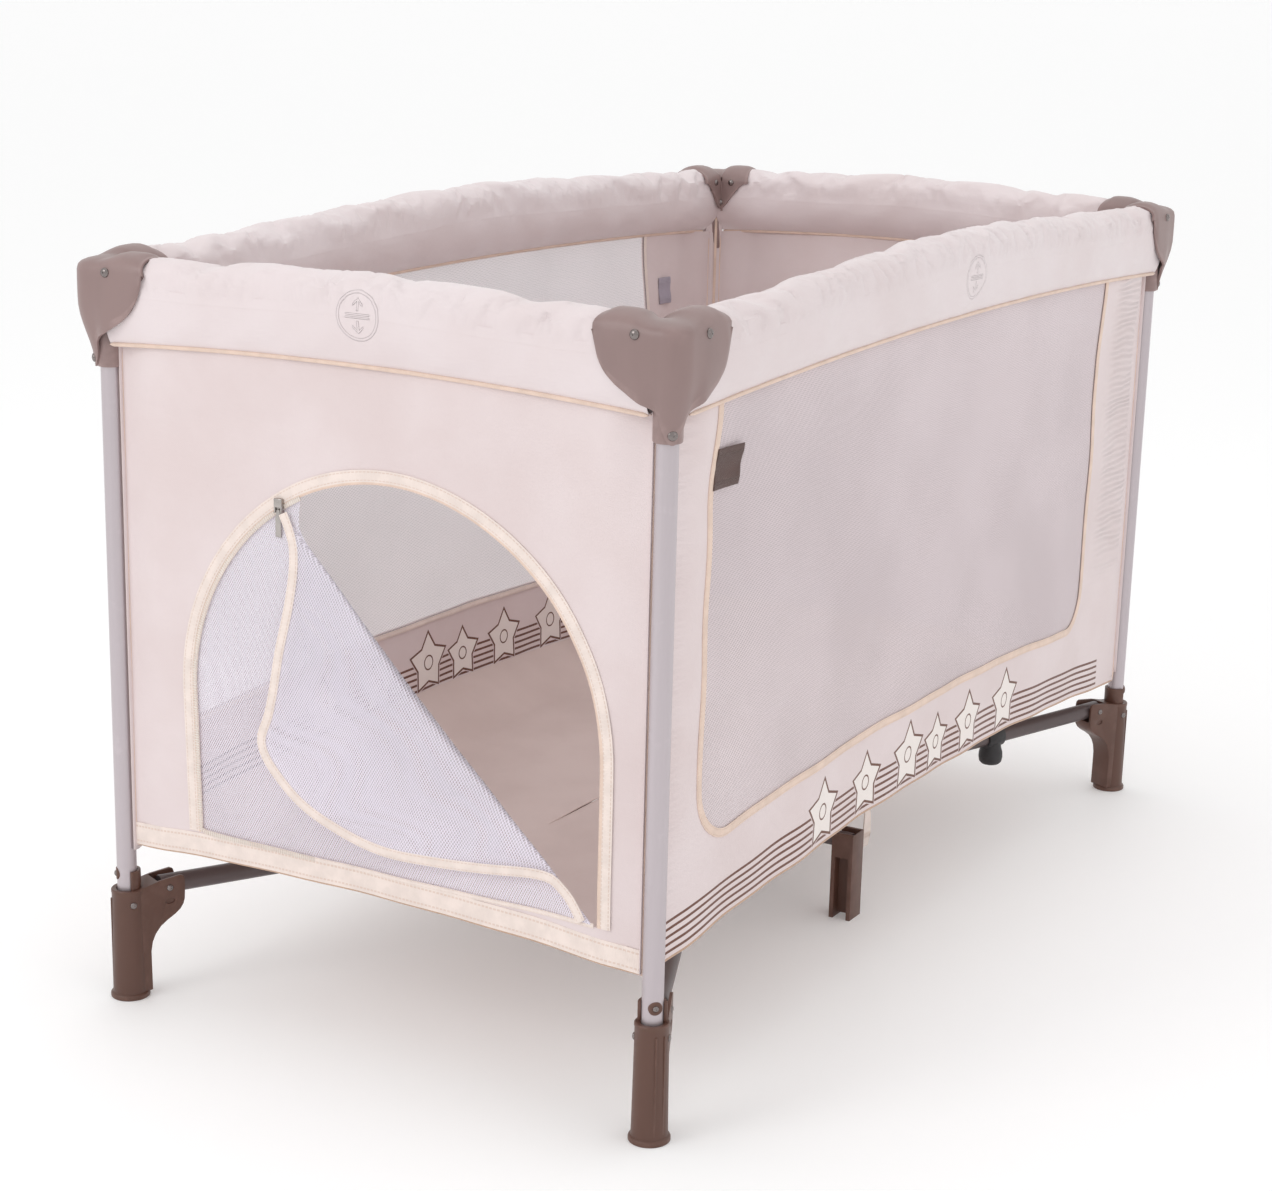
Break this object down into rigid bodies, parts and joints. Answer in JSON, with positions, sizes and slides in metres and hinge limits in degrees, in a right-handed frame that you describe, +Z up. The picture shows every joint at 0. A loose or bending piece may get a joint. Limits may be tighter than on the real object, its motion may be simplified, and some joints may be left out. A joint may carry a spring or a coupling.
{
  "type": "folding playpen",
  "caption": "Folding fabric-walled playpen on a tube frame, with mesh sides, padded top rails, hinged centre latches, a lifting base hub and a zipped door in one end.",
  "frame": {"origin": "on the floor under the middle of the playpen", "axes": "+Z up, +X along the long side away from the end with the door, +Y along the short side to the rear"},
  "size_m": [1.252, 0.664, 0.7707],
  "materials": {
    "silver_tube": "satin silver paint",
    "arm_paint": "dark grey semi-matt paint",
    "taupe_plastic": "fine satin",
    "brown_plastic": "fine satin",
    "black_plastic": "fine matt",
    "ivory_fabric": "woven polyester, slightly padded",
    "mesh_fabric": "fine open mesh",
    "webbing": "flat woven webbing",
    "zip_metal": "polished"
  },
  "bodies": {
    "corner_front_left": {"post_front_left": "silver_tube", "corner_cover_front_left": "taupe_plastic", "foot_front_left": "brown_plastic", "wall_front": "ivory_fabric", "wall_left_with_door": "ivory_fabric", "door_flap": "mesh_fabric"},
    "arm_front_left": {"base_arm_front_left": "arm_paint", "floor_front_left": "ivory_fabric"},
    "corner_front_right": {"post_front_right": "silver_tube", "corner_cover_front_right": "taupe_plastic", "foot_front_right": "brown_plastic", "wall_right": "ivory_fabric"},
    "arm_front_right": {"base_arm_front_right": "arm_paint", "floor_front_right": "ivory_fabric"},
    "corner_rear_right": {"post_rear_right": "silver_tube", "corner_cover_rear_right": "taupe_plastic", "foot_rear_right": "brown_plastic"},
    "arm_rear_right": {"base_arm_rear_right": "arm_paint", "floor_rear_right": "ivory_fabric"},
    "corner_rear_left": {"post_rear_left": "silver_tube", "corner_cover_rear_left": "taupe_plastic", "foot_rear_left": "brown_plastic", "wall_rear": "ivory_fabric"},
    "arm_rear_left": {"base_arm_rear_left": "arm_paint", "floor_rear_left": "ivory_fabric"},
    "base_hub": {"hub": "brown_plastic", "hub_lift_strap": "webbing"},
    "mid_arm_front": {"mid_arm_front": "arm_paint"},
    "centre_leg_front": {"centre_leg_front": "brown_plastic"},
    "mid_arm_rear": {"mid_arm_rear": "arm_paint"},
    "centre_leg_rear": {"centre_leg_rear": "brown_plastic"},
    "rail_front_left": {"rail_front_left": "silver_tube", "sleeve_front_left": "ivory_fabric"},
    "rail_front_right": {"rail_front_right": "silver_tube", "sleeve_front_right": "ivory_fabric"},
    "latch_front": {"latch_front": "black_plastic"},
    "latch_button_front": {"latch_button_front": "taupe_plastic"},
    "rail_right_front": {"rail_right_front": "silver_tube", "sleeve_right_front": "ivory_fabric"},
    "rail_right_rear": {"rail_right_rear": "silver_tube", "sleeve_right_rear": "ivory_fabric"},
    "latch_right": {"latch_right": "black_plastic"},
    "latch_button_right": {"latch_button_right": "taupe_plastic"},
    "rail_rear_right": {"rail_rear_right": "silver_tube", "sleeve_rear_right": "ivory_fabric"},
    "rail_rear_left": {"rail_rear_left": "silver_tube", "sleeve_rear_left": "ivory_fabric"},
    "latch_rear": {"latch_rear": "black_plastic"},
    "latch_button_rear": {"latch_button_rear": "taupe_plastic"},
    "rail_left_rear": {"rail_left_rear": "silver_tube", "sleeve_left_rear": "ivory_fabric"},
    "rail_left_front": {"rail_left_front": "silver_tube", "sleeve_left_front": "ivory_fabric"},
    "latch_left": {"latch_left": "black_plastic"},
    "latch_button_left": {"latch_button_left": "taupe_plastic"},
    "zip_slider": {"zip_slider": "zip_metal"},
    "zip_pull": {"zip_pull": "zip_metal"}
  },
  "joints": [
    {"name": "fold", "type": "hinge", "parent": "corner_front_left", "child": "arm_front_left", "pos_m": [-0.56351, -0.28961, 0.1125], "axis": [0.4097, -0.9122, 0], "range_deg": [0, 85], "deforming": ["wall_front", "wall_rear", "wall_left_with_door", "wall_right", "door_flap", "floor_front_left", "floor_front_right", "floor_rear_right", "floor_rear_left"]},
    {"name": "hub_turn_front_left", "type": "hinge", "parent": "arm_front_left", "child": "base_hub", "pos_m": [-0.03, -0.05, 0.09003], "axis": [-0.4097, 0.9122, 0], "range_deg": [0, 85]},
    {"name": "hub_turn_front_right", "type": "hinge", "parent": "base_hub", "child": "arm_front_right", "pos_m": [0.03, -0.05, 0.09003], "axis": [0.4097, 0.9122, 0], "range_deg": [0, 85]},
    {"name": "foot_turn_front_right", "type": "hinge", "parent": "arm_front_right", "child": "corner_front_right", "pos_m": [0.56351, -0.28961, 0.1125], "axis": [-0.4097, -0.9122, 0], "range_deg": [0, 85]},
    {"name": "hub_turn_rear_right", "type": "hinge", "parent": "base_hub", "child": "arm_rear_right", "pos_m": [0.03, 0.05, 0.09003], "axis": [-0.4097, 0.9122, 0], "range_deg": [0, 85]},
    {"name": "foot_turn_rear_right", "type": "hinge", "parent": "arm_rear_right", "child": "corner_rear_right", "pos_m": [0.56351, 0.28961, 0.1125], "axis": [0.4097, -0.9122, 0], "range_deg": [0, 85]},
    {"name": "hub_turn_rear_left", "type": "hinge", "parent": "base_hub", "child": "arm_rear_left", "pos_m": [-0.03, 0.05, 0.09003], "axis": [-0.4097, -0.9122, 0], "range_deg": [0, 85]},
    {"name": "foot_turn_rear_left", "type": "hinge", "parent": "arm_rear_left", "child": "corner_rear_left", "pos_m": [-0.56351, 0.28961, 0.1125], "axis": [0.4097, 0.9122, 0], "range_deg": [0, 85]},
    {"name": "mid_arm_turn_front", "type": "hinge", "parent": "base_hub", "child": "mid_arm_front", "pos_m": [0, -0.038, 0.09003], "axis": [1, 0, 0], "range_deg": [0, 85]},
    {"name": "leg_turn_front", "type": "hinge", "parent": "mid_arm_front", "child": "centre_leg_front", "pos_m": [0, -0.214, 0.09003], "axis": [-1, 0, 0], "range_deg": [0, 85]},
    {"name": "mid_arm_turn_rear", "type": "hinge", "parent": "base_hub", "child": "mid_arm_rear", "pos_m": [0, 0.038, 0.09003], "axis": [-1, 0, 0], "range_deg": [0, 85]},
    {"name": "leg_turn_rear", "type": "hinge", "parent": "mid_arm_rear", "child": "centre_leg_rear", "pos_m": [0, 0.214, 0.09003], "axis": [1, 0, 0], "range_deg": [0, 85]},
    {"name": "drop_rail_front_left", "type": "hinge", "parent": "corner_front_left", "child": "rail_front_left", "pos_m": [-0.566, -0.306, 0.732], "axis": [0, 1, 0], "range_deg": [0, 85]},
    {"name": "latch_turn_front", "type": "hinge", "parent": "rail_front_left", "child": "latch_front", "pos_m": [-0.03249, -0.306, 0.7525], "axis": [0, -1, 0], "range_deg": [0, 85]},
    {"name": "drop_rail_front_right", "type": "hinge", "parent": "latch_front", "child": "rail_front_right", "pos_m": [0.03249, -0.306, 0.7525], "axis": [0, -1, 0], "range_deg": [0, 85]},
    {"name": "press_button_front", "type": "slide", "parent": "latch_front", "child": "latch_button_front", "axis": [0, 1, 0], "range_m": [0, 0.003], "stiffness_N_per_m": 400, "springref_m": -0.002},
    {"name": "drop_rail_right_front", "type": "hinge", "parent": "corner_front_right", "child": "rail_right_front", "pos_m": [0.6, -0.272, 0.732], "axis": [-1, 0, 0], "range_deg": [0, 85]},
    {"name": "latch_turn_right", "type": "hinge", "parent": "rail_right_front", "child": "latch_right", "pos_m": [0.6, -0.03239, 0.74121], "axis": [1, 0, 0], "range_deg": [0, 85]},
    {"name": "drop_rail_right_rear", "type": "hinge", "parent": "latch_right", "child": "rail_right_rear", "pos_m": [0.6, 0.03239, 0.74121], "axis": [1, 0, 0], "range_deg": [0, 85]},
    {"name": "press_button_right", "type": "slide", "parent": "latch_right", "child": "latch_button_right", "axis": [-1, 0, 0], "range_m": [0, 0.003], "stiffness_N_per_m": 400, "springref_m": -0.002},
    {"name": "drop_rail_rear_right", "type": "hinge", "parent": "corner_rear_right", "child": "rail_rear_right", "pos_m": [0.566, 0.306, 0.732], "axis": [0, -1, 0], "range_deg": [0, 85]},
    {"name": "latch_turn_rear", "type": "hinge", "parent": "rail_rear_right", "child": "latch_rear", "pos_m": [0.03249, 0.306, 0.7525], "axis": [0, 1, 0], "range_deg": [0, 85]},
    {"name": "drop_rail_rear_left", "type": "hinge", "parent": "latch_rear", "child": "rail_rear_left", "pos_m": [-0.03249, 0.306, 0.7525], "axis": [0, 1, 0], "range_deg": [0, 85]},
    {"name": "press_button_rear", "type": "slide", "parent": "latch_rear", "child": "latch_button_rear", "axis": [0, -1, 0], "range_m": [0, 0.003], "stiffness_N_per_m": 400, "springref_m": -0.002},
    {"name": "drop_rail_left_rear", "type": "hinge", "parent": "corner_rear_left", "child": "rail_left_rear", "pos_m": [-0.6, 0.272, 0.732], "axis": [1, 0, 0], "range_deg": [0, 85]},
    {"name": "latch_turn_left", "type": "hinge", "parent": "rail_left_rear", "child": "latch_left", "pos_m": [-0.6, 0.03239, 0.74121], "axis": [-1, 0, 0], "range_deg": [0, 85]},
    {"name": "drop_rail_left_front", "type": "hinge", "parent": "latch_left", "child": "rail_left_front", "pos_m": [-0.6, -0.03239, 0.74121], "axis": [-1, 0, 0], "range_deg": [0, 85]},
    {"name": "press_button_left", "type": "slide", "parent": "latch_left", "child": "latch_button_left", "axis": [1, 0, 0], "range_m": [0, 0.003], "stiffness_N_per_m": 400, "springref_m": -0.002},
    {"name": "zip_carry", "type": "slide", "parent": "corner_front_left", "child": "zip_slider", "axis": [0.1476, -0.989, 0], "range_m": [0, 0.28458]},
    {"name": "zip_pull_swing", "type": "hinge", "parent": "zip_slider", "child": "zip_pull", "pos_m": [-0.6046, 0.105, 0.53426], "axis": [0, 1, 0], "range_deg": [0, 150]}
  ],
  "couplings": [
    {"joint": "hub_turn_front_left", "follows": "fold", "ratio": 1},
    {"joint": "hub_turn_front_right", "follows": "fold", "ratio": 1},
    {"joint": "foot_turn_front_right", "follows": "fold", "ratio": 1},
    {"joint": "hub_turn_rear_right", "follows": "fold", "ratio": 1},
    {"joint": "foot_turn_rear_right", "follows": "fold", "ratio": 1},
    {"joint": "hub_turn_rear_left", "follows": "fold", "ratio": 1},
    {"joint": "foot_turn_rear_left", "follows": "fold", "ratio": 1},
    {"joint": "mid_arm_turn_front", "follows": "fold", "ratio": 1},
    {"joint": "leg_turn_front", "follows": "fold", "ratio": 1},
    {"joint": "mid_arm_turn_rear", "follows": "fold", "ratio": 1},
    {"joint": "leg_turn_rear", "follows": "fold", "ratio": 1},
    {"joint": "drop_rail_front_left", "follows": "fold", "ratio": 1},
    {"joint": "latch_turn_front", "follows": "fold", "ratio": 1},
    {"joint": "drop_rail_front_right", "follows": "fold", "ratio": 1},
    {"joint": "drop_rail_right_front", "follows": "fold", "ratio": 1},
    {"joint": "latch_turn_right", "follows": "fold", "ratio": 1},
    {"joint": "drop_rail_right_rear", "follows": "fold", "ratio": 1},
    {"joint": "drop_rail_rear_right", "follows": "fold", "ratio": 1},
    {"joint": "latch_turn_rear", "follows": "fold", "ratio": 1},
    {"joint": "drop_rail_rear_left", "follows": "fold", "ratio": 1},
    {"joint": "drop_rail_left_rear", "follows": "fold", "ratio": 1},
    {"joint": "latch_turn_left", "follows": "fold", "ratio": 1},
    {"joint": "drop_rail_left_front", "follows": "fold", "ratio": 1},
    {"joint": "zip_carry", "follows": "fold", "m_per_rad": 0.19183}
  ]
}
